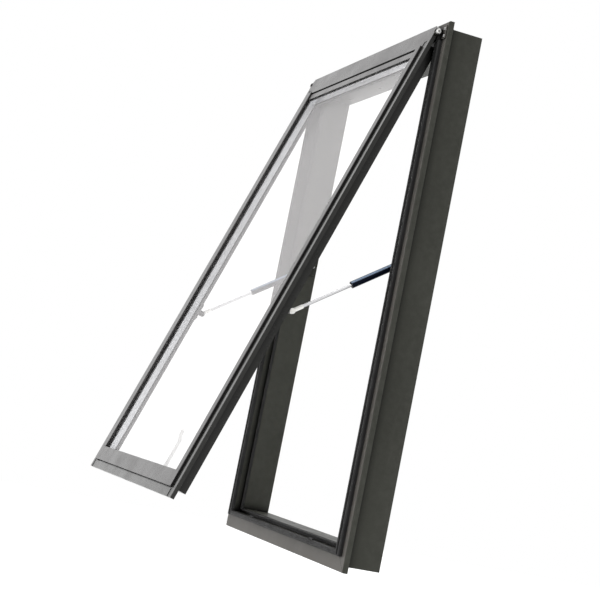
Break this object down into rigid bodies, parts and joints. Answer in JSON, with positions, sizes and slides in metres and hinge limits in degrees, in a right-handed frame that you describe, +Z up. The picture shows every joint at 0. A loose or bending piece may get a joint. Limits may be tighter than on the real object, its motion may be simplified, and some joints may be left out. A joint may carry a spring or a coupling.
{
  "type": "top-hung window",
  "caption": "Top-hung aluminium window: flanged box frame, double-glazed sash hinged at the head, gas struts to hold it open, and a cranked locking handle.",
  "frame": {"origin": "middle of the width, on the back face of the flange, level with the underside of the box", "axes": "+X to the right seen from outside, +Y into the building, +Z up the frame; stored with the sash pushed out against its struts"},
  "size_m": [0.97, 0.558, 1.4],
  "materials": {
    "frame_paint": "satin",
    "sash_paint": "satin",
    "cover_paint": "satin",
    "seal_rubber": "matte",
    "cleat_aluminium": "satin",
    "bracket_steel": "satin",
    "screw_steel": "satin",
    "pale_fitting": "gloss",
    "window_glass": "gloss",
    "spacer_aluminium": "satin",
    "edge_sealant": "matte",
    "block_plastic": "matte",
    "handle_paint": "gloss",
    "strut_tube_paint": "gloss",
    "black_fitting": "matte",
    "rod_chrome": "gloss"
  },
  "bodies": {
    "frame": {"frame_head": "frame_paint", "frame_sill": "frame_paint", "frame_jamb_left": "frame_paint", "frame_jamb_right": "frame_paint", "frame_corner_cleats": "cleat_aluminium", "weather_seal": "seal_rubber", "rebate_gasket": "seal_rubber", "frame_hinge_left": "frame_paint", "frame_hinge_right": "frame_paint", "hinge_pin_left": "bracket_steel", "hinge_pin_right": "bracket_steel", "hinge_screws": "screw_steel", "strut_bracket_left": "frame_paint", "strut_bracket_right": "frame_paint", "strut_pin_clips": "screw_steel", "bracket_screws": "black_fitting", "sill_keeps": "black_fitting", "keep_screws": "black_fitting"},
    "sash": {"sash_top_rail": "sash_paint", "sash_bottom_rail": "sash_paint", "sash_stile_left": "sash_paint", "sash_stile_right": "sash_paint", "sash_corner_cleats": "cleat_aluminium", "head_cover": "cover_paint", "glazing_cap_top": "cover_paint", "glazing_cap_bottom": "cover_paint", "glazing_cap_left": "cover_paint", "glazing_cap_right": "cover_paint", "outer_gasket": "seal_rubber", "inner_gasket": "seal_rubber", "outer_pane": "window_glass", "inner_pane": "window_glass", "spacer_bar": "spacer_aluminium", "edge_sealant": "edge_sealant", "setting_blocks": "block_plastic", "sash_hinge_left": "bracket_steel", "sash_hinge_right": "bracket_steel", "stud_bracket_left": "sash_paint", "stud_bracket_right": "sash_paint", "stud_screws": "screw_steel", "handle_rose": "handle_paint", "handle_gearbox": "bracket_steel", "rose_screws": "screw_steel"},
    "handle": {"handle_lever": "handle_paint", "handle_spindle": "bracket_steel"},
    "lock_bar": {"lock_bar": "bracket_steel", "lock_cams": "bracket_steel"},
    "strut_left_tube": {"strut_tube_left": "strut_tube_paint", "strut_gland_left": "black_fitting"},
    "strut_left_rod": {"strut_rod_left": "rod_chrome", "strut_piston_left": "black_fitting", "strut_socket_left": "pale_fitting"},
    "strut_right_tube": {"strut_tube_right": "strut_tube_paint", "strut_gland_right": "black_fitting"},
    "strut_right_rod": {"strut_rod_right": "rod_chrome", "strut_piston_right": "black_fitting", "strut_socket_right": "pale_fitting"}
  },
  "joints": [
    {"name": "sash_hinge", "type": "hinge", "parent": "frame", "child": "sash", "pos_m": [0, -0.0295, 1.357], "axis": [-1, 0, 0], "range_deg": [-18.87, 0], "stiffness_Nm_per_rad": 90, "springref_deg": 68.75},
    {"name": "handle_turn", "type": "hinge", "parent": "sash", "child": "handle", "pos_m": [0, -0.41618, 0.11744], "axis": [0, -0.9463, 0.3234], "range_deg": [-90, 0]},
    {"name": "lock_slide", "type": "slide", "parent": "sash", "child": "lock_bar", "axis": [1, 0, 0], "range_m": [-0.01006, 0]},
    {"name": "strut_left_swing", "type": "hinge", "parent": "frame", "child": "strut_left_tube", "pos_m": [-0.405, 0.0655, 0.8036], "axis": [-1, 0, 0], "range_deg": [-43.48, 0]},
    {"name": "strut_left_stroke", "type": "slide", "parent": "strut_left_tube", "child": "strut_left_rod", "axis": [0, -0.8233, -0.5676], "range_m": [-0.1295, 0]},
    {"name": "strut_right_swing", "type": "hinge", "parent": "frame", "child": "strut_right_tube", "pos_m": [0.405, 0.0655, 0.8036], "axis": [-1, 0, 0], "range_deg": [-43.48, 0]},
    {"name": "strut_right_stroke", "type": "slide", "parent": "strut_right_tube", "child": "strut_right_rod", "axis": [0, -0.8233, -0.5676], "range_m": [-0.1295, 0]}
  ],
  "couplings": [
    {"joint": "lock_slide", "follows": "handle_turn", "m_per_rad": 0.0064},
    {"joint": "strut_left_swing", "follows": "sash_hinge", "ratio": 2.3041},
    {"joint": "strut_left_stroke", "follows": "sash_hinge", "m_per_rad": 0.39321},
    {"joint": "strut_right_swing", "follows": "sash_hinge", "ratio": 2.3041},
    {"joint": "strut_right_stroke", "follows": "sash_hinge", "m_per_rad": 0.39321}
  ]
}
